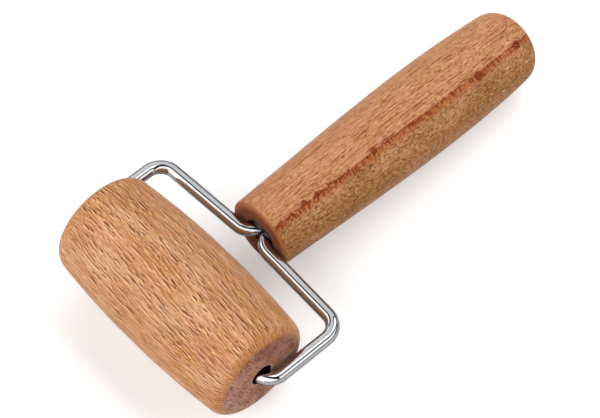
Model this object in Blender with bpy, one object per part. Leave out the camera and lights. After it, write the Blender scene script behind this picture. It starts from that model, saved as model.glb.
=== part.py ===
"""Wooden hand roller: a crowned beech roller that turns freely on a bent steel wire, in a turned beech handle.

One length of wire is the whole frame. Its middle is the axle, which lies loose in the roller's through bore.
It bends round both ends of the roller, comes back across the front of the handle, and its two ends are glued
side by side into a socket drilled in the handle.

Frame: +X along the roller's axis, +Y from the roller to the handle's butt, +Z up. The tool lies on a table,
where the middle of the roller and the belly of the handle touch z = 0, so the handle slopes down a little.
The origin is the bottom centre of the whole. Lengths are in metres and angles in radians.
"""

import math

import bmesh
import bpy
from mathutils import Vector

# Roller
ROLLER_LENGTH = 0.0854
ROLLER_MIDDLE_RADIUS = 0.0225
ROLLER_END_RADIUS = 0.0200  # where the crown would meet the end face without its rounding
ROLLER_LAND = 0.012  # the cylindrical band in the middle of the crown
ROLLER_EDGE_ROUNDING = 0.0053
BORE_RADIUS = 0.0042
BORE_CHAMFER = 0.0004
ROLLER_SIDES = 64

# Wire frame, measured from the axle's centre line
WIRE_DIAMETER = 0.005
LEG_X = 0.0464  # centre line of each leg
CORNER_Y = 0.0336  # where leg and crossbar centre lines meet
APEX_Y = 0.0357  # where crossbar and shank centre lines meet
AXLE_BEND_RADIUS = 0.006
CORNER_BEND_RADIUS = 0.007
SHANK_BEND_RADIUS = 0.0055
SHANK_DEPTH = 0.036  # from the handle's front face
BEND_STEP = math.radians(11.25)
WIRE_BEVEL_RESOLUTION = 6  # 16 sides

# Where the loose axle lies in the bore, from the roller's axis
AXLE_DROP = 0.00125
AXLE_BACK = 0.00055

# Handle, measured from its front face
HANDLE_FRONT_Y = 0.0387  # from the axle's centre line
HANDLE_LENGTH = 0.1289
HANDLE_OUTLINE_RADII = (0.0137, 0.0153, 0.0187, 0.0140)  # control radii of one cubic curve, front to butt
HANDLE_FRONT_ROUNDING = 0.0008
HANDLE_BUTT_ROUNDING = 0.0085
SOCKET_RADIUS = 0.0059
SOCKET_DEPTH = 0.040
SOCKET_CHAMFER = 0.0008
HANDLE_SIDES = 48

# Glue in the socket
GLUE_RECESS = 0.001
GLUE_SIDES = 32

FIT_GAP = 0.0003  # between pieces that touch
CROWN_STEPS = 8  # from the land to each end's rounding
HANDLE_STEPS = 18
ROUNDING_STEPS = 5
MERGE_DISTANCE = 1e-6

WIRE_RADIUS = WIRE_DIAMETER / 2
SHANK_X = WIRE_RADIUS + FIT_GAP / 2
ROLLER_AXIS_Z = ROLLER_MIDDLE_RADIUS
AXLE_Z = ROLLER_AXIS_Z - AXLE_DROP

# Material name: colour, roughness, metallic
MATERIALS = {
    "roller_beech": ((0.56, 0.28, 0.13), 0.55, 0.0),
    "handle_beech": ((0.47, 0.23, 0.11), 0.50, 0.0),
    "polished_steel_wire": ((0.72, 0.72, 0.73), 0.12, 1.0),
    "set_glue": ((0.23, 0.13, 0.06), 0.35, 0.0),
}


def roller_radius(z):
    """The roller's crown, with z from its middle: a parabola on each side of the cylindrical land."""
    drop = ROLLER_MIDDLE_RADIUS - ROLLER_END_RADIUS
    beyond = max(0, (2 * z) ** 2 - ROLLER_LAND**2) / (ROLLER_LENGTH**2 - ROLLER_LAND**2)
    return ROLLER_MIDDLE_RADIUS - drop * beyond


def handle_radius(z):
    """The handle's outline: a cubic curve along its length, with z from its front face."""
    t = z / HANDLE_LENGTH
    a, b, c, d = HANDLE_OUTLINE_RADII
    return a * (1 - t) ** 3 + 3 * b * t * (1 - t) ** 2 + 3 * c * t**2 * (1 - t) + d * t**3


def rounded_end(radius_at, end_z, side, size):
    """Points (radius, z) of the rounding between an outline and its flat end, from the outline inwards.

    side is +1 for the upper end and -1 for the lower one. The arc starts square to the outline's normal.
    """
    probe = size / 100
    lean = 0.0
    for _ in range(4):  # the tangent point and the outline's slope there settle at once
        touch_z = end_z - side * size * (1 - math.sin(lean))
        slope = (radius_at(touch_z + probe) - radius_at(touch_z - probe)) / (2 * probe)
        lean = math.atan(-side * slope)
    centre_z = end_z - side * size
    centre_radius = radius_at(touch_z) - size * math.cos(lean)
    angles = [lean + (math.pi / 2 - lean) * i / ROUNDING_STEPS for i in range(ROUNDING_STEPS + 1)]
    return [(centre_radius + size * math.cos(a), centre_z + side * size * math.sin(a)) for a in angles]


def spaced(first, last, steps):
    """The places between two ends that cut the way between them into equal steps."""
    return [first + (last - first) * i / steps for i in range(1, steps)]


def roller_outline():
    """Points (radius, z) of the crown between its end faces."""
    half, land_end = ROLLER_LENGTH / 2, ROLLER_LAND / 2
    upper = rounded_end(roller_radius, half, +1, ROLLER_EDGE_ROUNDING)
    crown = [land_end] + spaced(land_end, upper[0][1], CROWN_STEPS)
    upper = [(roller_radius(z), z) for z in crown] + upper
    return [(radius, -z) for radius, z in reversed(upper)] + upper


def roller_profile():
    """The closed loop (radius, z) that turns into the roller with its through bore."""
    half = ROLLER_LENGTH / 2
    inner = half - BORE_CHAMFER
    bore = [
        (BORE_RADIUS + BORE_CHAMFER, half),
        (BORE_RADIUS, inner),
        (BORE_RADIUS, -inner),
        (BORE_RADIUS + BORE_CHAMFER, -half),
    ]
    return roller_outline() + bore


def handle_outline():
    """Points (radius, z) of the handle between the flats of its front face and its butt."""
    front = rounded_end(handle_radius, 0, -1, HANDLE_FRONT_ROUNDING)[::-1]
    butt = rounded_end(handle_radius, HANDLE_LENGTH, +1, HANDLE_BUTT_ROUNDING)
    between = spaced(front[-1][1], butt[0][1], HANDLE_STEPS)
    return front + [(handle_radius(z), z) for z in between] + butt


def handle_profile():
    """The open line (radius, z) from the socket's floor to the butt's centre, which turns into the handle."""
    socket = [
        (0, SOCKET_DEPTH),
        (SOCKET_RADIUS, SOCKET_DEPTH),
        (SOCKET_RADIUS, SOCKET_CHAMFER),
        (SOCKET_RADIUS + SOCKET_CHAMFER, 0),
    ]
    return socket + handle_outline() + [(0, HANDLE_LENGTH)]


def handle_slope():
    """How far the wire and handle tip down about the axle before the handle's belly meets the table."""
    slopes = []
    for radius, z in handle_outline():
        reach = HANDLE_FRONT_Y + z
        slopes.append(math.asin(AXLE_Z / math.hypot(reach, radius)) - math.atan2(radius, reach))
    return min(slopes)


def butt_reach(slope):
    """The handle's furthest point in +Y from the axle's centre line, once it slopes."""
    return max(
        (HANDLE_FRONT_Y + z) * math.cos(slope) + radius * math.sin(slope)
        for radius, z in handle_outline()
    )


def rounded_path(corners, radii):
    """Points of a path through the corners, each turned by an arc of its own radius."""
    path = [corners[0]]
    for before, corner, after, radius in zip(corners, corners[1:], corners[2:], radii):
        arrive = (corner - before).normalized()
        leave = (after - corner).normalized()
        turn = arrive.angle(leave)
        start = corner - arrive * radius * math.tan(turn / 2)
        inward = (leave - arrive * arrive.dot(leave)).normalized()
        centre = start + inward * radius
        steps = max(2, round(turn / BEND_STEP))
        for i in range(steps + 1):
            angle = turn * i / steps
            path.append(centre - inward * radius * math.cos(angle) + arrive * radius * math.sin(angle))
    return path + [corners[-1]]


def frame_path():
    """The wire's centre line, from one end in the socket, round through the roller, to the other end."""
    shank_end_y = HANDLE_FRONT_Y + SHANK_DEPTH
    right = [
        Vector((LEG_X, 0, 0)),
        Vector((LEG_X, CORNER_Y, 0)),
        Vector((SHANK_X, APEX_Y, 0)),
        Vector((SHANK_X, shank_end_y, 0)),
    ]
    left = [Vector((-p.x, p.y, 0)) for p in reversed(right)]
    bends = (SHANK_BEND_RADIUS, CORNER_BEND_RADIUS, AXLE_BEND_RADIUS)
    return rounded_path(left + right, bends + bends[::-1])


def material(name):
    colour, roughness, metallic = MATERIALS[name]
    made = bpy.data.materials.new(name)
    made.use_nodes = True
    shader = made.node_tree.nodes["Principled BSDF"]
    shader.inputs["Base Color"].default_value = (*colour, 1)
    shader.inputs["Roughness"].default_value = roughness
    shader.inputs["Metallic"].default_value = metallic
    made.diffuse_color = (*colour, 1)
    return made


def place(name, data, material_name, parent=None, location=(0, 0, 0), rotation=(0, 0, 0)):
    made = bpy.data.objects.new(name, data)
    data.materials.append(material(material_name))
    made.parent = parent
    made.location = location
    made.rotation_euler = rotation
    bpy.context.collection.objects.link(made)
    return made


def turned_mesh(name, profile, sides, closed):
    """The solid that a profile of (radius, z) points makes when it is spun about Z."""
    mesh = bmesh.new()
    verts = [mesh.verts.new((radius, 0, z)) for radius, z in profile]
    pairs = list(zip(verts, verts[1:])) + ([(verts[-1], verts[0])] if closed else [])
    edges = [mesh.edges.new(pair) for pair in pairs]
    bmesh.ops.spin(
        mesh, geom=verts + edges, cent=(0, 0, 0), axis=(0, 0, 1), angle=math.tau, steps=sides, use_merge=True
    )
    bmesh.ops.remove_doubles(mesh, verts=mesh.verts, dist=MERGE_DISTANCE)
    bmesh.ops.recalc_face_normals(mesh, faces=mesh.faces)
    data = bpy.data.meshes.new(name)
    mesh.to_mesh(data)
    mesh.free()
    data.shade_smooth()
    data.set_sharp_from_angle(angle=math.radians(35))
    return data


def wire_curve(name, points):
    data = bpy.data.curves.new(name, "CURVE")
    data.dimensions = "3D"
    data.twist_mode = "Z_UP"
    data.bevel_depth = WIRE_RADIUS
    data.bevel_resolution = WIRE_BEVEL_RESOLUTION
    data.use_fill_caps = True
    spline = data.splines.new("POLY")
    spline.points.add(len(points) - 1)
    for spline_point, point in zip(spline.points, points):
        spline_point.co = (*point, 1)
    return data


def shank_cutter(side, length, parent):
    """The space that one shank takes out of the glue, with its fit gap, along the parent's Z."""
    profile = [(0, 0), (WIRE_RADIUS + FIT_GAP, 0), (WIRE_RADIUS + FIT_GAP, length), (0, length)]
    name = f"shank_cutter_{'right' if side > 0 else 'left'}"
    cutter = bpy.data.objects.new(name, turned_mesh(name, profile, GLUE_SIDES, closed=False))
    cutter.parent = parent
    cutter.location = (side * SHANK_X, 0, -GLUE_RECESS)
    cutter.hide_render = True
    cutter.display_type = "WIRE"
    bpy.context.collection.objects.link(cutter)
    return cutter


def make_glue(pivot, along_handle):
    """The plug of set glue that holds both shanks in the socket."""
    bottom = SOCKET_DEPTH - FIT_GAP - GLUE_RECESS
    radius = SOCKET_RADIUS - FIT_GAP
    profile = [(0, 0), (radius, 0), (radius, bottom), (0, bottom)]
    glue = place(
        "socket_glue",
        turned_mesh("socket_glue", profile, GLUE_SIDES, closed=False),
        "set_glue",
        pivot,
        (0, HANDLE_FRONT_Y + GLUE_RECESS, 0),
        along_handle,
    )
    for side in (-1, 1):
        cut = glue.modifiers.new("shank_space", "BOOLEAN")
        cut.operation = "DIFFERENCE"
        cut.object = shank_cutter(side, SHANK_DEPTH + FIT_GAP, glue)


def main():
    for old in list(bpy.data.objects):
        bpy.data.objects.remove(old, do_unlink=True)

    slope = handle_slope()
    roller_y = (ROLLER_MIDDLE_RADIUS + AXLE_BACK - butt_reach(slope)) / 2

    roller = turned_mesh("roller", roller_profile(), ROLLER_SIDES, closed=True)
    across = (0, math.pi / 2, 0)
    place("roller", roller, "roller_beech", None, (0, roller_y, ROLLER_AXIS_Z), across)

    pivot = bpy.data.objects.new("axle_centre", None)
    pivot.location = (0, roller_y - AXLE_BACK, AXLE_Z)
    pivot.rotation_euler = (-slope, 0, 0)
    bpy.context.collection.objects.link(pivot)

    place("wire_frame", wire_curve("wire_frame", frame_path()), "polished_steel_wire", pivot)
    along_handle = (-math.pi / 2, 0, 0)
    handle = turned_mesh("handle", handle_profile(), HANDLE_SIDES, closed=False)
    place("handle", handle, "handle_beech", pivot, (0, HANDLE_FRONT_Y, 0), along_handle)
    make_glue(pivot, along_handle)


main()
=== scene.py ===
"""Looks of a wooden hand roller: turned beech on a bright bent wire, in a soft white studio.

The pieces are finer versions of the CAD solids, made from the same outlines and the same wire path.
Lengths are in metres and angles in radians, in the row frame. The wood materials work in millimetres.
"""

import math

import bmesh
import bpy
from mathutils import Matrix, Vector


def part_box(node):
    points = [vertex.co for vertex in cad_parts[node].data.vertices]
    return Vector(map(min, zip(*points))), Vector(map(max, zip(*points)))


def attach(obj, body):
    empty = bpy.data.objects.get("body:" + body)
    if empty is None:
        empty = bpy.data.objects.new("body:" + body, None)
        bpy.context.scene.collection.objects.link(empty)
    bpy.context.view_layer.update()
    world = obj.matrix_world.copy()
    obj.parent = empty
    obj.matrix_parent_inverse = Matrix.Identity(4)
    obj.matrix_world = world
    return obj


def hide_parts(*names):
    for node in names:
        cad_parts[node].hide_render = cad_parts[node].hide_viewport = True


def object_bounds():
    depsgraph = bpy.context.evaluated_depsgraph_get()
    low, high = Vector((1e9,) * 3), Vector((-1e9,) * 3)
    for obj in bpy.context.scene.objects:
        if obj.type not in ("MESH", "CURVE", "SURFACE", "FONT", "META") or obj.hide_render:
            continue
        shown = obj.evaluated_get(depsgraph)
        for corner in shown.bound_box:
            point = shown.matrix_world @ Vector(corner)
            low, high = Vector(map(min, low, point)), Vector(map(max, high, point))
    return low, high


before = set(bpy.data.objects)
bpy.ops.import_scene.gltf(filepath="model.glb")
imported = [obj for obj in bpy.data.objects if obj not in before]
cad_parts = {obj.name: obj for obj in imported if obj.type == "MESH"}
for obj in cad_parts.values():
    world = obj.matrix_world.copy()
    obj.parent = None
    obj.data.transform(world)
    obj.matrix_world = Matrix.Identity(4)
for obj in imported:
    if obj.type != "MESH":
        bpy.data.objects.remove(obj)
cad_low, cad_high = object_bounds()

# Roller
ROLLER_LENGTH = 0.0854
ROLLER_MIDDLE_RADIUS = 0.0225
ROLLER_END_RADIUS = 0.0200
ROLLER_LAND = 0.012
ROLLER_EDGE_ROUNDING = 0.0053
BORE_RADIUS = 0.0042
BORE_CHAMFER = 0.0004
ROLLER_SIDES = 192
CROWN_STEPS = 40

# Wire frame, measured from the axle's centre line
WIRE_RADIUS = 0.0025
LEG_X = 0.0464
CORNER_Y = 0.0336
APEX_Y = 0.0357
AXLE_BEND_RADIUS = 0.006
CORNER_BEND_RADIUS = 0.007
SHANK_BEND_RADIUS = 0.0055
SHANK_DEPTH = 0.036
BEND_STEP = math.radians(3)
WIRE_SIDES = 48
AXLE_DROP = 0.00125
AXLE_BACK = 0.00055

# Handle, measured from its front face
HANDLE_FRONT_Y = 0.0387
HANDLE_LENGTH = 0.1289
HANDLE_OUTLINE_RADII = (0.0137, 0.0153, 0.0187, 0.0140)
HANDLE_FRONT_ROUNDING = 0.0008
HANDLE_BUTT_ROUNDING = 0.0085
SOCKET_RADIUS = 0.0059
SOCKET_DEPTH = 0.040
SOCKET_CHAMFER = 0.0008
HANDLE_MIDDLE_RADIUS = 0.0160  # for distances round the handle
HANDLE_SIDES = 144
HANDLE_STEPS = 96

FIT_GAP = 0.0003
ROUNDING_STEPS = 14
MERGE_DISTANCE = 1e-6
SHANK_X = WIRE_RADIUS + FIT_GAP / 2
AXLE_Z = ROLLER_MIDDLE_RADIUS - AXLE_DROP
SHARP_ANGLE = math.radians(38)

# Camera, aimed from the roller's centre
CAMERA_AZIMUTH = math.radians(47.0)
CAMERA_ELEVATION = math.radians(58.45)
CAMERA_DISTANCE = 0.900
CAMERA_LENS = 153.4  # millimetres
CAMERA_SENSOR = 36  # millimetres wide
CAMERA_RANGE = (0.01, 100)
CAMERA_AIM = Vector((0.0032, 0.0544, 0))

# Softboxes overhead: name, slopes away from straight up that it covers in x and in y, radiance, and whether
# it only shows in the wire
PANELS = (
    ("front_light", (-3.0, 3.0), (-3.2, -0.64), 1.60, False),
    ("back_light", (-3.0, 3.0), (0.30, 1.6), 2.50, False),
    ("front_band", (-3.0, 3.0), (-3.2, -0.33), 1.60, True),
    ("strip_band", (-0.15, 0.40), (0.04, 2.6), 1.90, True),
    ("right_band", (0.84, 3.0), (0.04, 2.6), 1.35, True),
    ("left_band", (-3.0, -0.26), (0.04, 2.6), 0.95, True),
)
PANEL_HEIGHT = 1.5
BAND_DROP = 0.002  # how much nearer the softboxes that only show in the wire are than the others

# An upright softbox low in front
LOW_SOFTBOX_X = -0.3
LOW_SOFTBOX_Y = -2.2
LOW_SOFTBOX_Z = 0.55
LOW_SOFTBOX_SIZE = (3.0, 1.0)
LOW_LIGHT_RADIANCE = 1.5
LOW_BAND_RADIANCE = 1.4

# Floor and room
FLOOR_SIZE = 24
FLOOR_COLOUR = (1, 1, 1)  # as the camera sees it
FLOOR_BOUNCE = (0.42, 0.41, 0.40)  # as it lights the object
FLOOR_MIRRORED = (0.62, 0.62, 0.62)  # as it shows in the wire
FLOOR_LIFT = (0.22, 1.0)  # light added to what the camera sees, near the object and far away
FLOOR_LIFT_REACH = (0.5, 2.5)
FLOOR_ROUGHNESS = 0.9
FLOOR_SPECULAR = 0.1
BACKDROP_COLOUR = (1, 1, 1)
ROOM_LIGHT = (1.05, 1.05, 1.06)  # towards the horizon, as it lights the object
ROOM_MIRRORED = (0.42, 0.42, 0.43)  # towards the horizon, as it shows in the wire
ROOM_DARK = (0.01, 0.01, 0.01)  # overhead, between the softboxes
ROOM_DARK_ABOVE = (0.25, 0.60)  # the heights between which the room darkens
ROOM_DARK_BEHIND = (0.2, 0.8)  # the same towards +Y

MM = 1000  # millimetres in a metre

# Wood finish
WOOD_SPECULAR = 0.12
WOOD_SHEEN = 0.35
WOOD_SHEEN_ROUGHNESS = 0.28
WOOD_RELIEF = 0.00006
WOOD_RELIEF_STRENGTH = 0.6
FIBRE_DETAIL = 3.0
FIBRE_ROUGHNESS = 0.6
MARK_EDGE = (1.0, 0.66)  # where a mark starts and where it is full, of its half size
# Painted shade: near black down the walls of the bore and the socket
HOLE_SHADE = (34, 18, 12)
HOLE_SHADE_REACH = (0.25, 0.05)  # millimetres outside a hole's radius

# Wood tones are display colours of 0 to 255. A layer is laid over the tone before it: the pattern that it
# follows, the pattern's value where it starts and where it is full, its strength, its colour.
ROLLER_BASE = (190, 130, 74)
ROLLER_LAYERS = (
    ("patches", 0.36, 0.64, 1.0, (200, 138, 98)),
    ("pale", 0.46, 0.66, 0.6, (218, 172, 132)),
    ("broad", 0.50, 0.70, 0.8, (220, 170, 122)),
    ("broad", 0.50, 0.32, 0.55, (172, 104, 50)),
    ("fine", 0.52, 0.34, 0.5, (156, 88, 38)),
    ("fine", 0.54, 0.70, 0.6, (232, 186, 144)),
)
ROLLER_END_BASE = (130, 74, 50)
ROLLER_END_LAYERS = (
    ("mottle", 0.42, 0.58, 1.0, (176, 126, 104)),
    ("pores", 0.46, 0.62, 0.7, (198, 150, 128)),
    ("across", -6, 14, 0.5, (120, 66, 42)),
    ("across", -2, -16, 0.45, (190, 146, 130)),
    ("rays", 0.50, 0.34, 0.75, (98, 50, 34)),
)
ROLLER_RIM_BASE = (200, 132, 76)
ROLLER_RIM_LAYERS = (("fine", 0.60, 0.34, 1.0, (138, 76, 32)),)
ROLLER_RIM_REACH = (0.35, 0.85)  # of the end grain value
ROLLER_RIM_STRENGTH = 0.6
ROLLER_END_REACH = (0.82, 1.0)
ROLLER_END_RAGGEDNESS = 0.16
# Painted highlight: a pale ring on the bore's chamfer, where its edge catches the light
BORE_LIP_HIGHLIGHT = (206, 164, 146)
BORE_LIP_HIGHLIGHT_REACH = (0.8, 0.4)  # millimetres outside the bore
BORE_LIP_HIGHLIGHT_STRENGTH = 0.7

# Grain of the roller; each pattern's size is its width across and length along the grain in millimetres
ROLLER_SIZES = {
    "patches": (6, 16),
    "pale": (9, 24),
    "broad": (1.6, 20),
    "fine": (0.42, 2.8),
    "mottle": (6.5, 40),
    "pores": (0.8, 9),
    "rays": (0.6, 5.0),  # both across the grain
}
BROAD_DETAIL = 2.0
ROLLER_RELIEF = (-0.9, 0.5)  # of the marks and of the fine fibres
ROLLER_RAYS_FACE = math.radians(-22.7)  # where the rays meet the surface, from up towards +Y
ROLLER_GRAIN_SLOPE = math.radians(4)  # to the roller's axis
ROLLER_WANDER = ((1.3, 16), (0.6, 3.0))  # amount and length, in millimetres
ROLLER_ROUGHNESS = (0.50, 0.66)

# Dark marks on the roller: cell and half size (across, along the grain) in millimetres, strength of the
# weakest and the strongest, offset
ROLLER_MARKS = (
    ((1.9, 6.2), (0.31, 2.2), 0.2, 1.0, 0.0),
    ((1.4, 4.4), (0.26, 1.7), -0.2, 0.9, 31.7),
    ((1.0, 3.0), (0.20, 1.0), -0.6, 0.8, 57.3),
)
MARK_VARIATION = 0.7
MARK_COLOUR = (100, 36, 0)
GLINT_ASIDE = 1.9  # how far a pale companion lies beside its mark, in half widths
GLINT_COLOUR = (242, 202, 162)
GLINT_STRENGTH = 0.55

# The handle above its figure line, below the line, on its front face and on its butt
UPPER_BASE = (188, 130, 80)
UPPER_LAYERS = (
    ("patches", 0.36, 0.64, 1.0, (194, 132, 94)),
    ("streaks", 0.54, 0.34, 0.6, (154, 88, 46)),
    ("streaks", 0.50, 0.72, 0.6, (214, 162, 112)),
    ("short", 0.50, 0.68, 0.65, (222, 172, 128)),
    ("short", 0.46, 0.30, 0.6, (144, 80, 38)),
)
LOWER_BASE = (162, 112, 64)
LOWER_LAYERS = (
    ("patches", 0.38, 0.62, 1.0, (188, 132, 92)),
    ("grit", 0.50, 0.34, 0.9, (112, 62, 20)),
    ("grit", 0.54, 0.68, 0.7, (212, 160, 110)),
    ("short", 0.44, 0.30, 0.5, (118, 68, 34)),
    ("rust", 0.54, 0.68, 0.4, (158, 92, 54)),
)
# The front face: dark end grain made darker with painted shade from the roller and the wires, and paler
# towards its rim as a painted highlight
FRONT_SHADED_BASE = (112, 56, 36)
FRONT_SHADED_LAYERS = (
    ("pores", 0.35, 0.65, 1.0, (152, 88, 58)),
    ("distance", 10.0, 12.8, 1.0, (184, 118, 70)),
)
BUTT_BASE = (118, 70, 42)
BUTT_LAYERS = (("pores", 0.35, 0.65, 1.0, (160, 108, 76)),)
HANDLE_SIZES = {
    "patches": (7, 22),
    "streaks": (0.55, 14),
    "short": (0.45, 1.8),
    "grit": (0.55, 1.3),
    "rust": (2.4, 4.5),
    "pores": (0.7, 6),
}
HANDLE_RELIEF = (-0.7, 0.3, 0.3)  # of the marks, the streaks and the grit
HANDLE_WANDER = (1.6, 22)
HANDLE_ROUGHNESS = (0.46, 0.62)

# Dark marks on the handle: cell and half size (across, along the grain) in millimetres, offset
HANDLE_MARKS = (
    ((2.4, 15.0), (0.23, 5.5), 71.3),
    ((1.3, 6.0), (0.23, 2.0), 0.0),
    ((1.0, 3.4), (0.20, 0.8), 43.9),
)
HANDLE_MARK_RANGE = (-0.2, 1.0)  # weakest and strongest
UPPER_MARK_COLOUR = (122, 48, 0)
LOWER_MARK_COLOUR = (90, 50, 24)
LOWER_MARK_STRENGTH = 0.45

# Pale specks on the handle below the line, towards the butt
SPECK_CELL = (3.6, 6.0)
SPECK_HALF = (0.36, 0.6)
SPECK_VARIATION = 0.5
SPECK_OFFSET = 11.3
SPECK_CHANCE = (0.80, 0.9)
SPECK_REACH = (60, 100)  # millimetres from the front face
SPECK_COLOUR = (238, 210, 178)

# Where the handle's parts meet, in millimetres round the handle from the line or along it from the front face
LINE_FACES = math.radians(30)  # the figure line, from up towards +X
LOWER_RISE = (-0.2, 0.8)
LOWER_FALL = (42, 26)
FRONT_DEPTH = (4.0, 2.0)
FRONT_FACING = (0.55, 0.92)  # of the end grain value
FRONT_MIDDLE = (9.0, 8.0)  # millimetres from the axis
BUTT_FACING = (0.70, 0.99)
SOCKET_SIDE = (60, 50)

# Ray figure along the handle's line, in millimetres past the line unless it says otherwise
RAGGED_SIZE = (0.8, 0.8)
FIGURE_RAGGEDNESS = 2.0
FIGURE_RISE = (-0.5, 0.1)
FIGURE_FALL = (3.2, 1.4)
FIGURE_COLOUR = (176, 94, 36)
FIGURE_STRENGTH = 0.6
RUNG_CELL = (1.25, 2.4)
RUNG_HALF = (0.42, 1.5)
RUNG_VARIATION = 0.6
RUNG_OFFSET = 3.7
RUNG_RANGE = (0.2, 1.4)
RUNG_COLOUR = (130, 46, 0)
LINE_EDGE = (0.48, 0.16)
LINE_PATCH_LENGTH = 6.5
LINE_BREAKS = (0.38, 0.54)
LINE_RANGE = (0.15, 0.9)
LINE_COLOUR = (122, 42, 0)
SMUDGE_SIZE = (1.0, 1.1)
SMUDGE_FRONT = (52, 30)  # from the front face
SMUDGE_THRESHOLD = (0.60, 0.50)  # far from the front face and near it
SMUDGE_EDGE = (0.0, 0.06)
SMUDGE_RISE = (-1.8, -0.2)
SMUDGE_FALL = (2.6, 1.2)
SMUDGE_COLOUR = (126, 48, 20)
SMUDGE_STRENGTH = 0.85
BLOT_EDGE = (1.05, 0.7)
BLOT_MOTTLE = (0.44, 0.58)
BLOT_COLOURS = ((98, 24, 0), (140, 54, 12))
BLOT_STRENGTH = 0.9

# Round blots of the figure: distance from the front face, distance past the line, radius, in millimetres
HANDLE_BLOTS = (
    (8.5, -0.2, 0.9),
    (14.5, -0.7, 1.2),
    (20.5, -0.5, 1.1),
    (47.5, -0.4, 1.5),
    (65.5, 0.3, 0.8),
    (98.5, 0.7, 2.0),
    (119.0, 0.4, 1.8),
)

# Wire finish
WIRE_COLOURS = ((192, 193, 197), (210, 210, 213))
WIRE_ROUGHNESS = (0.03, 0.09)
WIRE_EDGE_TINT = (0.30, 0.29, 0.29, 1)
WIRE_SMEARS = (260.0, 3.0, 0.55)  # the noise's scale, detail and roughness
WIRE_DENTS = (190.0, 1.0, 0.5)
WIRE_RELIEF = 0.0004
WIRE_RELIEF_STRENGTH = 0.25

# Glue finish
# Dark brown, partly the glue's own colour and partly painted shade of the socket's mouth
GLUE_AND_SHADE_COLOURS = ((44, 26, 20), (80, 48, 36))
GLUE_ROUGHNESS = (0.35, 0.60)
GLUE_LUMPS = (420.0, 3.0, 0.6)
GLUE_RELIEF = 0.0006
GLUE_RELIEF_STRENGTH = 0.6


# ---------------------------------------------------------------- outlines, the same as the CAD's


def roller_radius(z):
    """The roller's crown, with z from its middle: a parabola on each side of the cylindrical land."""
    drop = ROLLER_MIDDLE_RADIUS - ROLLER_END_RADIUS
    beyond = max(0, (2 * z) ** 2 - ROLLER_LAND**2) / (ROLLER_LENGTH**2 - ROLLER_LAND**2)
    return ROLLER_MIDDLE_RADIUS - drop * beyond


def handle_radius(z):
    """The handle's outline: a cubic curve along its length, with z from its front face."""
    t = z / HANDLE_LENGTH
    a, b, c, d = HANDLE_OUTLINE_RADII
    return a * (1 - t) ** 3 + 3 * b * t * (1 - t) ** 2 + 3 * c * t**2 * (1 - t) + d * t**3


def rounded_end(radius_at, end_z, side, size):
    """Points (radius, z) of the rounding between an outline and its flat end, from the outline inwards."""
    probe = size / 100
    lean = 0.0
    for _ in range(4):  # the tangent point and the outline's slope there settle at once
        touch_z = end_z - side * size * (1 - math.sin(lean))
        slope = (radius_at(touch_z + probe) - radius_at(touch_z - probe)) / (2 * probe)
        lean = math.atan(-side * slope)
    centre_z = end_z - side * size
    centre_radius = radius_at(touch_z) - size * math.cos(lean)
    angles = [lean + (math.pi / 2 - lean) * i / ROUNDING_STEPS for i in range(ROUNDING_STEPS + 1)]
    return [(centre_radius + size * math.cos(a), centre_z + side * size * math.sin(a)) for a in angles]


def spaced(first, last, steps):
    """The places between two ends that cut the way between them into equal steps."""
    return [first + (last - first) * i / steps for i in range(1, steps)]


def roller_profile():
    """The closed loop (radius, z) that turns into the roller with its through bore."""
    half, land_end = ROLLER_LENGTH / 2, ROLLER_LAND / 2
    rounding = rounded_end(roller_radius, half, +1, ROLLER_EDGE_ROUNDING)
    crown = [land_end] + spaced(land_end, rounding[0][1], CROWN_STEPS)
    upper = [(roller_radius(z), z) for z in crown] + rounding
    bore = [
        (BORE_RADIUS + BORE_CHAMFER, half),
        (BORE_RADIUS, half - BORE_CHAMFER),
        (BORE_RADIUS, BORE_CHAMFER - half),
        (BORE_RADIUS + BORE_CHAMFER, -half),
    ]
    return [(radius, -z) for radius, z in reversed(upper)] + upper + bore


def handle_outline():
    """Points (radius, z) of the handle between the flats of its front face and its butt."""
    front = rounded_end(handle_radius, 0, -1, HANDLE_FRONT_ROUNDING)[::-1]
    butt = rounded_end(handle_radius, HANDLE_LENGTH, +1, HANDLE_BUTT_ROUNDING)
    between = spaced(front[-1][1], butt[0][1], HANDLE_STEPS)
    return front + [(handle_radius(z), z) for z in between] + butt


def handle_profile():
    """The open line (radius, z) from the socket's floor to the butt's centre, which turns into the handle."""
    socket = [
        (0, SOCKET_DEPTH),
        (SOCKET_RADIUS, SOCKET_DEPTH),
        (SOCKET_RADIUS, SOCKET_CHAMFER),
        (SOCKET_RADIUS + SOCKET_CHAMFER, 0),
    ]
    return socket + handle_outline() + [(0, HANDLE_LENGTH)]


def rounded_path(corners, radii):
    """Points of a path through the corners, each turned by an arc of its own radius."""
    path = [corners[0]]
    for before, corner, after, radius in zip(corners, corners[1:], corners[2:], radii):
        arrive = (corner - before).normalized()
        leave = (after - corner).normalized()
        turn = arrive.angle(leave)
        start = corner - arrive * radius * math.tan(turn / 2)
        inward = (leave - arrive * arrive.dot(leave)).normalized()
        centre = start + inward * radius
        steps = max(2, round(turn / BEND_STEP))
        for i in range(steps + 1):
            angle = turn * i / steps
            path.append(centre - inward * radius * math.cos(angle) + arrive * radius * math.sin(angle))
    return path + [corners[-1]]


def frame_path():
    """The wire's centre line, from one end in the socket, round through the roller, to the other end."""
    right = [
        Vector((LEG_X, 0, 0)),
        Vector((LEG_X, CORNER_Y, 0)),
        Vector((SHANK_X, APEX_Y, 0)),
        Vector((SHANK_X, HANDLE_FRONT_Y + SHANK_DEPTH, 0)),
    ]
    left = [Vector((-p.x, p.y, 0)) for p in reversed(right)]
    bends = (SHANK_BEND_RADIUS, CORNER_BEND_RADIUS, AXLE_BEND_RADIUS)
    return rounded_path(left + right, bends + bends[::-1])


# ---------------------------------------------------------------- places, read from the frame


def roller_centre():
    low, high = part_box("roller")
    return (low + high) / 2


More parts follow.
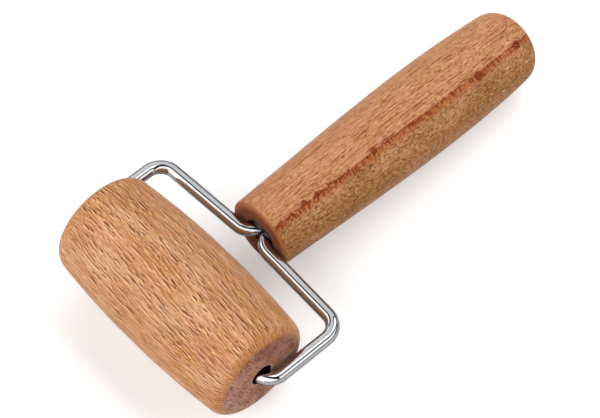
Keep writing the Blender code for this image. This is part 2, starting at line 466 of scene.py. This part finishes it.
def frame_slope():
    """The angle that wire and handle tip down from the axle, for the handle's belly to just touch z = 0."""
    slopes = []
    for radius, z in handle_outline():
        reach = HANDLE_FRONT_Y + z
        slopes.append(math.asin(AXLE_Z / math.hypot(reach, radius)) - math.atan2(radius, reach))
    return min(slopes)


def frame_place():
    """The matrix of the axle's middle, which wire and handle are measured from."""
    centre = roller_centre()
    axle = Vector((centre.x, centre.y - AXLE_BACK, AXLE_Z))
    return Matrix.Translation(axle) @ Matrix.Rotation(-frame_slope(), 4, "X")


# ---------------------------------------------------------------- meshes


def finished_mesh(name, mesh):
    """The mesh data of a bmesh, which is freed."""
    data = bpy.data.meshes.new(name)
    mesh.to_mesh(data)
    mesh.free()
    return data


def turned_mesh(name, profile, sides, closed):
    """The solid that a profile of (radius, z) points makes when it is spun about Z."""
    mesh = bmesh.new()
    verts = [mesh.verts.new((radius, 0, z)) for radius, z in profile]
    pairs = list(zip(verts, verts[1:])) + ([(verts[-1], verts[0])] if closed else [])
    edges = [mesh.edges.new(pair) for pair in pairs]
    bmesh.ops.spin(
        mesh, geom=verts + edges, cent=(0, 0, 0), axis=(0, 0, 1), angle=math.tau, steps=sides, use_merge=True
    )
    bmesh.ops.remove_doubles(mesh, verts=mesh.verts, dist=MERGE_DISTANCE)
    bmesh.ops.recalc_face_normals(mesh, faces=mesh.faces)
    return finished_mesh(name, mesh)


def swept_mesh(name, path, radius, sides):
    """A round bar with flat ends along a path that lies in the XY plane."""
    mesh = bmesh.new()
    rings = []
    for i, point in enumerate(path):
        before, after = path[max(i - 1, 0)], path[min(i + 1, len(path) - 1)]
        across = (after - before).normalized().cross(Vector((0, 0, 1)))
        ring = []
        for k in range(sides):
            angle = math.tau * k / sides
            out = across * radius * math.cos(angle)
            lift = Vector((0, 0, radius * math.sin(angle)))
            ring.append(mesh.verts.new(point + out + lift))
        rings.append(ring)
    for first, second in zip(rings, rings[1:]):
        for k in range(sides):
            mesh.faces.new((first[k], first[(k + 1) % sides], second[(k + 1) % sides], second[k]))
    mesh.faces.new(rings[0])
    mesh.faces.new(rings[-1])
    bmesh.ops.recalc_face_normals(mesh, faces=mesh.faces)
    return finished_mesh(name, mesh)


def mark_end_grain(data):
    """Stores how far each point of a turned mesh faces along its axis: 0 on its side and 1 on a flat end."""
    facing = data.attributes.new("end_grain", "FLOAT", "POINT")
    for i, vertex in enumerate(data.vertices):
        facing.data[i].value = abs(vertex.normal.z)


def add_piece(name, data, place, material, body, node):
    """A piece whose mesh is put in the row frame, as the CAD nodes are, so its object stays at the origin."""
    data.transform(place)
    data.shade_smooth()
    data.set_sharp_from_angle(angle=SHARP_ANGLE)
    data.materials.append(material)
    piece = bpy.data.objects.new(name, data)
    bpy.context.scene.collection.objects.link(piece)
    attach(piece, body)
    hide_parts(node)
    return piece


# ---------------------------------------------------------------- node building


def colour(red, green, blue):
    """A display colour of 0 to 255 a channel as the linear colour that a shader takes."""

    def linear(value):
        value /= 255
        return value / 12.92 if value <= 0.04045 else ((value + 0.055) / 1.055) ** 2.4

    return (linear(red), linear(green), linear(blue), 1)


class Graph:
    """Short calls for the nodes of one tree. A value is a number, a tuple or another node's output."""

    def __init__(self, tree):
        self.tree = tree

    def feed(self, socket, value):
        if isinstance(value, bpy.types.NodeSocket):
            self.tree.links.new(value, socket)
        elif value is not None:
            socket.default_value = value

    def add(self, kind, inputs=(), **settings):
        node = self.tree.nodes.new(kind)
        for key, value in settings.items():
            setattr(node, key, value)
        for key, value in dict(inputs).items():
            self.feed(node.inputs[key], value)
        return node

    def math(self, operation, a, b=None, c=None):
        node = self.add("ShaderNodeMath", operation=operation)
        for socket, value in zip(node.inputs, (a, b, c)):
            self.feed(socket, value)
        return node.outputs[0]

    def product(self, a, b):
        return self.math("MULTIPLY", a, b)

    def length(self, x, y):
        return self.math("SQRT", self.math("MULTIPLY_ADD", x, x, self.product(y, y)))

    def dot(self, a, b):
        return self.add("ShaderNodeVectorMath", {0: a, 1: b}, operation="DOT_PRODUCT").outputs["Value"]

    def combine(self, x, y, z):
        return self.add("ShaderNodeCombineXYZ", {"X": x, "Y": y, "Z": z}).outputs[0]

    def separate(self, vector):
        outputs = self.add("ShaderNodeSeparateXYZ", {0: vector}).outputs
        return outputs["X"], outputs["Y"], outputs["Z"]

    def fade(self, value, low, high):
        """0 below low and 1 above high, smooth between; low may be the greater."""
        inputs = {"Value": value, "From Min": low, "From Max": high}
        return self.add("ShaderNodeMapRange", inputs, interpolation_type="SMOOTHSTEP").outputs["Result"]

    def between(self, value, rise, fall):
        """1 from the end of the rise to the end of the fall, and 0 outside both."""
        return self.product(self.fade(value, *rise), self.fade(value, *fall))

    def scaled(self, value, low, high):
        """A value of 0 to 1 stretched to low to high."""
        inputs = {"Value": value, "To Min": low, "To Max": high}
        return self.add("ShaderNodeMapRange", inputs).outputs["Result"]

    def noise(self, vector, scale=1.0, detail=2.0, roughness=0.5):
        inputs = {"Vector": vector, "Scale": scale, "Detail": detail, "Roughness": roughness}
        return self.add("ShaderNodeTexNoise", inputs).outputs["Fac"]

    def mix(self, factor, a, b):
        node = self.add("ShaderNodeMix", data_type="RGBA")
        self.feed(node.inputs["Factor"], factor)
        for socket, value in zip([s for s in node.inputs if s.type == "RGBA"], (a, b)):
            self.feed(socket, value)
        return [s for s in node.outputs if s.type == "RGBA"][0]

    def tint(self, tone, cover, strength, shade):
        """The tone with a display colour laid over it where cover is above 0."""
        return self.mix(self.product(cover, strength), tone, colour(*shade))

    def layered(self, base, layers, patterns):
        """A base colour under layers, each of which follows one of the patterns."""
        tone = colour(*base)
        for pattern, start, full, strength, shade in layers:
            tone = self.tint(tone, self.fade(patterns[pattern], start, full), strength, shade)
        return tone

    def bump(self, height, distance, strength):
        inputs = {"Height": height, "Distance": distance, "Strength": strength}
        return self.add("ShaderNodeBump", inputs).outputs["Normal"]


def new_material(name):
    made = bpy.data.materials.new(name)
    made.use_nodes = True
    return made, Graph(made.node_tree), made.node_tree.nodes["Principled BSDF"]


# ---------------------------------------------------------------- wood


def wood_space(graph, place, *axes):
    """Coordinates in millimetres along the given axes of a turned piece that place puts in the row frame."""
    point = graph.add("ShaderNodeTexCoord").outputs["Object"]
    turned = [place.to_3x3() @ axis for axis in axes]
    origins = [place.translation.dot(axis) for axis in turned]
    return [
        graph.product(graph.math("SUBTRACT", graph.dot(point, tuple(axis)), origin), MM)
        for axis, origin in zip(turned, origins)
    ]


def grain(graph, point, width, length, detail=2.0, roughness=0.5):
    """Noise whose patches are about width across and length along the grain, in millimetres.

    point holds two coordinates across the grain and then the one along it.
    """
    sizes = (width, width, length)
    spread = [graph.math("DIVIDE", coordinate, size) for coordinate, size in zip(point, sizes)]
    return graph.noise(graph.combine(*spread), 1.0, detail, roughness)


def fibres(graph, point, width, length, detail=FIBRE_DETAIL):
    """Fine streaks along the grain, width by length in millimetres."""
    return grain(graph, point, width, length, detail, FIBRE_ROUGHNESS)


def wavy(graph, value, point, amount, length):
    """A coordinate with the slow wander of the grain, which varies over length as point moves."""
    wander = graph.math("SUBTRACT", grain(graph, point, length, length, detail=1.0), 0.5)
    return graph.math("MULTIPLY_ADD", wander, amount, value)


def round_the_axis(graph, side, out, radius):
    """The distance round a turned piece of the given radius, in millimetres, from where out is greatest."""
    return graph.product(graph.math("ARCTAN2", side, out), radius * MM)


def spindles(graph, across, along, cell, half, variation, aside=0.0, offset=0.0):
    """Scattered spindle-shaped marks that lie along the grain, one to a cell.

    cell and half are (across, along) in millimetres; variation is how much the marks' lengths differ, and
    aside moves every mark sideways. Returns the marks' strength and a random value for each mark.
    """
    across_cells = graph.math("ADD", graph.math("DIVIDE", across, cell[0]), offset)
    flat = graph.combine(across_cells, graph.math("DIVIDE", along, cell[1]), 0.0)
    inputs = {"Vector": flat, "Scale": 1.0, "Randomness": 1.0}
    cells = graph.add("ShaderNodeTexVoronoi", inputs, voronoi_dimensions="2D", feature="F1")
    centre = cells.outputs["Position"]
    away = graph.add("ShaderNodeVectorMath", {0: flat, 1: centre}, operation="SUBTRACT").outputs[0]
    away_across, away_along, _ = graph.separate(away)
    chance, size, _ = graph.separate(cells.outputs["Color"])
    reach = graph.scaled(size, 1 - variation, 1 + variation)
    u = graph.math("DIVIDE", graph.math("ADD", graph.product(away_across, cell[0]), aside), half[0])
    v = graph.math("DIVIDE", graph.product(away_along, cell[1]), graph.product(reach, half[1]))
    return graph.fade(graph.length(u, v), *MARK_EDGE), chance


def from_axis(graph, place):
    """How far a point is from the piece's turning axis, in millimetres."""
    return graph.length(*wood_space(graph, place, Vector((1, 0, 0)), Vector((0, 1, 0))))


def outside(radius, reach):
    """A reach in millimetres outside a radius, as two distances from the axis."""
    return [radius * MM + margin for margin in reach]


def end_grain(graph):
    return graph.add("ShaderNodeAttribute", attribute_name="end_grain").outputs["Fac"]


def finish_wood(graph, shader, tone, height, roughness):
    graph.feed(shader.inputs["Base Color"], tone)
    graph.feed(shader.inputs["Roughness"], roughness)
    graph.feed(shader.inputs["Normal"], graph.bump(height, WOOD_RELIEF, WOOD_RELIEF_STRENGTH))
    shader.inputs["Specular IOR Level"].default_value = WOOD_SPECULAR
    shader.inputs["Sheen Weight"].default_value = WOOD_SHEEN
    shader.inputs["Sheen Roughness"].default_value = WOOD_SHEEN_ROUGHNESS


def roller_marks(graph, across, along):
    """The strength of the short dark ends of the rays, and of the pale wood beside each."""
    marks, glints = 0.0, 0.0
    for cell, half, low, high, offset in ROLLER_MARKS:
        mark = (across, along, cell, half, MARK_VARIATION)
        dark, chance = spindles(graph, *mark, offset=offset)
        light, _ = spindles(graph, *mark, aside=GLINT_ASIDE * half[0], offset=offset)
        strength = graph.scaled(chance, low, high)
        marks = graph.math("MAXIMUM", marks, graph.product(dark, strength))
        glints = graph.math("MAXIMUM", glints, graph.product(light, strength))
    return marks, glints


def roller_wood(place):
    """Beech cut so that the short dark ends of its rays face up, with darker end grain."""
    made, graph, shader = new_material("roller_beech")
    up, side = Vector((-1, 0, 0)), Vector((0, 1, 0))
    ray = up * math.cos(ROLLER_RAYS_FACE) + side * math.sin(ROLLER_RAYS_FACE)
    level = side * math.cos(ROLLER_RAYS_FACE) - up * math.sin(ROLLER_RAYS_FACE)
    t, r, l = wood_space(graph, place, level, ray, Vector((0, 0, 1)))
    arc = round_the_axis(graph, t, r, ROLLER_MIDDLE_RADIUS)
    across = graph.math("MULTIPLY_ADD", l, math.sin(ROLLER_GRAIN_SLOPE), arc)
    for amount, length in ROLLER_WANDER:
        across = wavy(graph, across, (t, r, l), amount, length)
    t = graph.math("MULTIPLY_ADD", l, math.sin(ROLLER_GRAIN_SLOPE), t)

    ray_width, ray_length = ROLLER_SIZES["rays"]
    rays = graph.combine(graph.math("DIVIDE", t, ray_width), graph.math("DIVIDE", r, ray_length), 0.0)
    patterns = {
        "patches": grain(graph, (t, r, l), *ROLLER_SIZES["patches"]),
        "pale": grain(graph, (r, t, l), *ROLLER_SIZES["pale"]),
        "broad": fibres(graph, (t, r, l), *ROLLER_SIZES["broad"], detail=BROAD_DETAIL),
        "fine": fibres(graph, (t, r, l), *ROLLER_SIZES["fine"]),
        "mottle": grain(graph, (t, r, l), *ROLLER_SIZES["mottle"]),
        "pores": grain(graph, (t, r, l), *ROLLER_SIZES["pores"]),
        "across": t,
        "rays": graph.noise(rays),
    }
    tone = graph.layered(ROLLER_BASE, ROLLER_LAYERS, patterns)
    marks, glints = roller_marks(graph, across, l)
    tone = graph.tint(tone, glints, GLINT_STRENGTH, GLINT_COLOUR)
    tone = graph.tint(tone, marks, 1.0, MARK_COLOUR)

    ends = end_grain(graph)
    rim = graph.layered(ROLLER_RIM_BASE, ROLLER_RIM_LAYERS, patterns)
    tone = graph.mix(graph.product(graph.fade(ends, *ROLLER_RIM_REACH), ROLLER_RIM_STRENGTH), tone, rim)
    jag = graph.math("SUBTRACT", patterns["pores"], 0.5)
    ragged = graph.math("MULTIPLY_ADD", jag, ROLLER_END_RAGGEDNESS, ends)
    end_tone = graph.layered(ROLLER_END_BASE, ROLLER_END_LAYERS, patterns)
    tone = graph.mix(graph.fade(ragged, *ROLLER_END_REACH), tone, end_tone)
    distance = from_axis(graph, place)
    # Painted highlight on the bore's chamfer
    lip_highlight = graph.fade(distance, *outside(BORE_RADIUS, BORE_LIP_HIGHLIGHT_REACH))
    tone = graph.tint(tone, lip_highlight, BORE_LIP_HIGHLIGHT_STRENGTH, BORE_LIP_HIGHLIGHT)
    # Painted shade down the bore's wall
    hole_shade = graph.fade(distance, *outside(BORE_RADIUS, HOLE_SHADE_REACH))
    tone = graph.tint(tone, hole_shade, 1.0, HOLE_SHADE)

    mark_relief, fibre_relief = ROLLER_RELIEF
    height = graph.math("MULTIPLY_ADD", marks, mark_relief, graph.product(patterns["fine"], fibre_relief))
    finish_wood(graph, shader, tone, height, graph.scaled(patterns["fine"], *ROLLER_ROUGHNESS))
    return made


def figure_blots(graph, along, past):
    """The strength of the round blots of the figure."""
    blots = 0.0
    for blot_along, blot_past, radius in HANDLE_BLOTS:
        u = graph.math("DIVIDE", graph.math("SUBTRACT", along, blot_along), radius)
        v = graph.math("DIVIDE", graph.math("SUBTRACT", past, blot_past), radius)
        blots = graph.math("MAXIMUM", blots, graph.fade(graph.length(u, v), *BLOT_EDGE))
    return blots


def ray_figure(graph, tone, past, point):
    """The line where past is 0 and the rays surface: a broken dark line, rungs past it, smudges and blots."""
    t, r, l = point
    ragged = grain(graph, (r, t, l), *RAGGED_SIZE)
    past = graph.math("MULTIPLY_ADD", graph.math("SUBTRACT", ragged, 0.5), FIGURE_RAGGEDNESS, past)
    band = graph.between(past, FIGURE_RISE, FIGURE_FALL)
    tone = graph.tint(tone, band, FIGURE_STRENGTH, FIGURE_COLOUR)

    rungs, chance = spindles(graph, l, past, RUNG_CELL, RUNG_HALF, RUNG_VARIATION, offset=RUNG_OFFSET)
    rungs = graph.product(graph.product(rungs, band), graph.scaled(chance, *RUNG_RANGE))
    tone = graph.tint(tone, graph.math("MINIMUM", rungs, 1.0), 1.0, RUNG_COLOUR)

    stretches = graph.combine(0.0, 0.0, graph.math("DIVIDE", l, LINE_PATCH_LENGTH))
    patchy = graph.noise(stretches, roughness=FIBRE_ROUGHNESS)
    line = graph.fade(graph.math("ABSOLUTE", past), *LINE_EDGE)
    line = graph.product(line, graph.scaled(graph.fade(patchy, *LINE_BREAKS), *LINE_RANGE))
    tone = graph.tint(tone, line, 1.0, LINE_COLOUR)

    threshold = graph.scaled(graph.fade(l, *SMUDGE_FRONT), *SMUDGE_THRESHOLD)
    smudge = graph.math("SUBTRACT", grain(graph, (r, t, l), *SMUDGE_SIZE), threshold)
    smudge = graph.product(graph.fade(smudge, *SMUDGE_EDGE), graph.between(past, SMUDGE_RISE, SMUDGE_FALL))
    tone = graph.tint(tone, smudge, SMUDGE_STRENGTH, SMUDGE_COLOUR)

    dark, light = [colour(*shade) for shade in BLOT_COLOURS]
    blot_tone = graph.mix(graph.fade(ragged, *BLOT_MOTTLE), dark, light)
    return graph.mix(graph.product(figure_blots(graph, l, past), BLOT_STRENGTH), tone, blot_tone)


def handle_side(graph, patterns, dashes, arc, l):
    """The tone of the handle's side: fine streaks above the figure line and a darker speckle below it."""
    upper = graph.layered(UPPER_BASE, UPPER_LAYERS, patterns)
    upper = graph.tint(upper, dashes, 1.0, UPPER_MARK_COLOUR)
    lower = graph.layered(LOWER_BASE, LOWER_LAYERS, patterns)
    lower = graph.tint(lower, dashes, LOWER_MARK_STRENGTH, LOWER_MARK_COLOUR)
    specks, chance = spindles(graph, arc, l, SPECK_CELL, SPECK_HALF, SPECK_VARIATION, offset=SPECK_OFFSET)
    specks = graph.product(specks, graph.fade(chance, *SPECK_CHANCE))
    specks = graph.product(specks, graph.fade(l, *SPECK_REACH))
    lower = graph.tint(lower, specks, 1.0, SPECK_COLOUR)
    return graph.mix(graph.between(arc, LOWER_RISE, LOWER_FALL), upper, lower)


def handle_wood(place):
    """Beech with a line of reddish ray figure along it, and darker end grain at both ends; on the front face
    this is deepened with painted shade from the roller and wires, and paler towards its rim as a painted
    highlight.
    """
    made, graph, shader = new_material("handle_beech")
    up, side = Vector((0, -1, 0)), Vector((1, 0, 0))
    out = up * math.cos(LINE_FACES) + side * math.sin(LINE_FACES)
    past = side * math.cos(LINE_FACES) - up * math.sin(LINE_FACES)
    t, r, l = wood_space(graph, place, out, past, Vector((0, 0, 1)))
    arc = wavy(graph, round_the_axis(graph, r, t, HANDLE_MIDDLE_RADIUS), (t, r, l), *HANDLE_WANDER)
    distance = from_axis(graph, place)
    patterns = {
        "patches": grain(graph, (t, r, l), *HANDLE_SIZES["patches"]),
        "streaks": fibres(graph, (r, t, l), *HANDLE_SIZES["streaks"]),
        "short": fibres(graph, (r, t, l), *HANDLE_SIZES["short"]),
        "grit": grain(graph, (r, t, l), *HANDLE_SIZES["grit"]),
        "rust": grain(graph, (r, t, l), *HANDLE_SIZES["rust"]),
        "pores": grain(graph, (t, r, l), *HANDLE_SIZES["pores"]),
        "distance": distance,
    }
    dashes = 0.0
    for cell, half, offset in HANDLE_MARKS:
        dash, chance = spindles(graph, arc, l, cell, half, MARK_VARIATION, offset=offset)
        dashes = graph.math("MAXIMUM", dashes, graph.product(dash, graph.scaled(chance, *HANDLE_MARK_RANGE)))
    tone = handle_side(graph, patterns, dashes, arc, l)
    tone = ray_figure(graph, tone, arc, (t, r, l))

    ends = end_grain(graph)
    # The front face: dark end grain with painted shade, and a painted highlight towards its rim
    near_front = graph.fade(l, *FRONT_DEPTH)
    facing = graph.math("MAXIMUM", graph.fade(ends, *FRONT_FACING), graph.fade(distance, *FRONT_MIDDLE))
    front_shaded_tone = graph.layered(FRONT_SHADED_BASE, FRONT_SHADED_LAYERS, patterns)
    tone = graph.mix(graph.product(facing, near_front), tone, front_shaded_tone)
    butt = graph.product(graph.fade(ends, *BUTT_FACING), graph.math("SUBTRACT", 1.0, near_front))
    tone = graph.mix(butt, tone, graph.layered(BUTT_BASE, BUTT_LAYERS, patterns))
    # Painted shade down the socket's wall, fading out 50 to 60 millimetres from the front face
    hole_shade = graph.fade(distance, *outside(SOCKET_RADIUS, HOLE_SHADE_REACH))
    tone = graph.tint(tone, hole_shade, graph.fade(l, *SOCKET_SIDE), HOLE_SHADE)

    mark_relief, streak_relief, grit_relief = HANDLE_RELIEF
    height = graph.product(patterns["streaks"], streak_relief)
    height = graph.math("MULTIPLY_ADD", dashes, mark_relief, height)
    height = graph.math("ADD", height, graph.product(patterns["grit"], grit_relief))
    finish_wood(graph, shader, tone, height, graph.scaled(patterns["streaks"], *HANDLE_ROUGHNESS))
    return made


# ---------------------------------------------------------------- wire and glue


def surface(name, noise, shades, roughness):
    """A material whose colour and roughness follow one noise in the row frame."""
    made, graph, shader = new_material(name)
    place = graph.add("ShaderNodeTexCoord").outputs["Object"]
    pattern = graph.noise(place, *noise)
    dark, light = [colour(*shade) for shade in shades]
    graph.feed(shader.inputs["Base Color"], graph.mix(pattern, dark, light))
    graph.feed(shader.inputs["Roughness"], graph.scaled(pattern, *roughness))
    return made, graph, shader, place, pattern


def bright_wire():
    """Polished steel wire with faint smears and slight dents."""
    made, graph, shader, place, _ = surface("bright_steel_wire", WIRE_SMEARS, WIRE_COLOURS, WIRE_ROUGHNESS)
    shader.inputs["Metallic"].default_value = 1.0
    shader.inputs["Specular Tint"].default_value = WIRE_EDGE_TINT
    dents = graph.noise(place, *WIRE_DENTS)
    graph.feed(shader.inputs["Normal"], graph.bump(dents, WIRE_RELIEF, WIRE_RELIEF_STRENGTH))
    return made


def shaded_glue():
    """Hard glue with a lumpy skin, dark brown partly as its own colour and partly as painted shade of the
    socket's mouth.
    """
    made, graph, shader, _, lumps = surface("glue_with_painted_shade", GLUE_LUMPS, GLUE_AND_SHADE_COLOURS, GLUE_ROUGHNESS)
    graph.feed(shader.inputs["Normal"], graph.bump(lumps, GLUE_RELIEF, GLUE_RELIEF_STRENGTH))
    return made


# ---------------------------------------------------------------- studio


def by_ray(graph, seen, mirrored, otherwise):
    """A stage colour that differs for the camera, for reflections and for light."""
    rays = graph.add("ShaderNodeLightPath").outputs
    tone = graph.mix(rays["Is Glossy Ray"], (*otherwise, 1), (*mirrored, 1))
    return graph.mix(rays["Is Camera Ray"], tone, (*seen, 1))


def floor_material():
    """Plain and pale, and lifted far away, where the softboxes don't reach, so that no band shows there."""
    made, graph, shader = new_material("pale_floor")
    tone = by_ray(graph, FLOOR_COLOUR, FLOOR_MIRRORED, FLOOR_BOUNCE)
    graph.feed(shader.inputs["Base Color"], tone)
    place = graph.add("ShaderNodeTexCoord").outputs["Object"]
    distance = graph.add("ShaderNodeVectorMath", {0: place}, operation="LENGTH").outputs["Value"]
    seen = graph.add("ShaderNodeLightPath").outputs["Is Camera Ray"]
    lift = graph.scaled(graph.fade(distance, *FLOOR_LIFT_REACH), *FLOOR_LIFT)
    shader.inputs["Emission Color"].default_value = (1, 1, 1, 1)
    graph.feed(shader.inputs["Emission Strength"], graph.product(seen, lift))
    shader.inputs["Roughness"].default_value = FLOOR_ROUGHNESS
    shader.inputs["Specular IOR Level"].default_value = FLOOR_SPECULAR
    return made


def add_floor():
    mesh = bmesh.new()
    bmesh.ops.create_grid(mesh, x_segments=1, y_segments=1, size=FLOOR_SIZE / 2)
    data = finished_mesh("floor", mesh)
    data.materials.append(floor_material())
    floor = bpy.data.objects.new("floor", data)
    floor.location.z = cad_low.z
    bpy.context.scene.collection.objects.link(floor)


def add_softbox(name, centre, size, radiance, in_wire, turn=(0, 0, 0)):
    """A rectangular softbox, facing down until it is turned, that only lights or only shows in the wire."""
    light = bpy.data.lights.new(name, "AREA")
    light.shape = "RECTANGLE"
    light.size, light.size_y = size
    light.energy = radiance * math.pi * size[0] * size[1]
    softbox = bpy.data.objects.new(name, light)
    softbox.location = centre
    softbox.rotation_euler = turn
    softbox.visible_camera = False
    softbox.visible_diffuse = not in_wire
    softbox.visible_glossy = in_wire
    bpy.context.scene.collection.objects.link(softbox)


def add_panel(name, x, y, radiance, in_wire):
    """A level softbox overhead that covers x and y, each (from, to) as slopes away from straight up."""
    height = PANEL_HEIGHT - (BAND_DROP if in_wire else 0)
    centre = Vector(((x[0] + x[1]) / 2, (y[0] + y[1]) / 2, 1)) * height
    add_softbox(name, centre, ((x[1] - x[0]) * height, (y[1] - y[0]) * height), radiance, in_wire)


def add_room():
    """Dark overhead and towards +Y for light and reflections, with a pale backdrop for the camera."""
    world = bpy.data.worlds.new("room")
    world.use_nodes = True
    world.node_tree.nodes.clear()
    graph = Graph(world.node_tree)
    _, behind, height = graph.separate(graph.add("ShaderNodeTexCoord").outputs["Generated"])
    horizon = by_ray(graph, BACKDROP_COLOUR, ROOM_MIRRORED, ROOM_LIGHT)
    overhead = by_ray(graph, BACKDROP_COLOUR, ROOM_DARK, ROOM_DARK)
    dark = graph.math("MAXIMUM", graph.fade(height, *ROOM_DARK_ABOVE), graph.fade(behind, *ROOM_DARK_BEHIND))
    shade = graph.mix(dark, horizon, overhead)
    background = graph.add("ShaderNodeBackground", {"Color": shade, "Strength": 1.0})
    output = graph.add("ShaderNodeOutputWorld")
    graph.feed(output.inputs["Surface"], background.outputs[0])
    bpy.context.scene.world = world


def add_studio():
    """Softboxes that light the wood, and others with dark gaps, whose edges show as lines along the wire."""
    for panel in PANELS:
        add_panel(*panel)
    upright = (math.pi / 2, 0, 0)
    centre = (LOW_SOFTBOX_X, LOW_SOFTBOX_Y, LOW_SOFTBOX_Z)
    nearer = (LOW_SOFTBOX_X, LOW_SOFTBOX_Y + BAND_DROP, LOW_SOFTBOX_Z)
    add_softbox("low_front_light", centre, LOW_SOFTBOX_SIZE, LOW_LIGHT_RADIANCE, False, upright)
    add_softbox("low_front_band", nearer, LOW_SOFTBOX_SIZE, LOW_BAND_RADIANCE, True, upright)
    add_room()
    add_floor()


def add_camera():
    """The camera, which looks at a point beside the roller's centre."""
    back = Vector(
        (
            math.sin(CAMERA_AZIMUTH) * math.cos(CAMERA_ELEVATION),
            -math.cos(CAMERA_AZIMUTH) * math.cos(CAMERA_ELEVATION),
            math.sin(CAMERA_ELEVATION),
        )
    )
    right = Vector((math.cos(CAMERA_AZIMUTH), math.sin(CAMERA_AZIMUTH), 0))
    turn = Matrix((right, back.cross(right), back)).transposed()
    data = bpy.data.cameras.new("camera")
    data.lens = CAMERA_LENS
    data.sensor_width = CAMERA_SENSOR
    data.clip_start, data.clip_end = CAMERA_RANGE
    camera = bpy.data.objects.new("camera", data)
    aim = roller_centre() + CAMERA_AIM
    camera.matrix_world = Matrix.Translation(aim + back * CAMERA_DISTANCE) @ turn.to_4x4()
    bpy.context.scene.collection.objects.link(camera)
    bpy.context.scene.camera = camera
    bpy.context.scene.view_settings.view_transform = "Standard"


# ---------------------------------------------------------------- the object


def add_roller():
    data = turned_mesh("roller_wood", roller_profile(), ROLLER_SIDES, closed=True)
    mark_end_grain(data)
    place = Matrix.Translation(roller_centre()) @ Matrix.Rotation(math.pi / 2, 4, "Y")
    add_piece("roller_wood", data, place, roller_wood(place), "roller", "roller")


def add_handle():
    data = turned_mesh("handle_wood", handle_profile(), HANDLE_SIDES, closed=False)
    mark_end_grain(data)
    along = Matrix.Translation((0, HANDLE_FRONT_Y, 0)) @ Matrix.Rotation(-math.pi / 2, 4, "X")
    place = frame_place() @ along
    add_piece("handle_wood", data, place, handle_wood(place), "frame_and_handle", "handle")


def add_wire():
    data = swept_mesh("wire_bright", frame_path(), WIRE_RADIUS, WIRE_SIDES)
    made = bright_wire()
    add_piece("wire_bright", data, frame_place(), made, "frame_and_handle", "wire_frame")


def dress_glue():
    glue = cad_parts["socket_glue"]
    if not glue.data.materials:
        glue.data.materials.append(None)
    made = shaded_glue()
    for slot in glue.material_slots:
        slot.material = made


add_camera()
add_studio()
add_roller()
add_handle()
add_wire()
dress_glue()
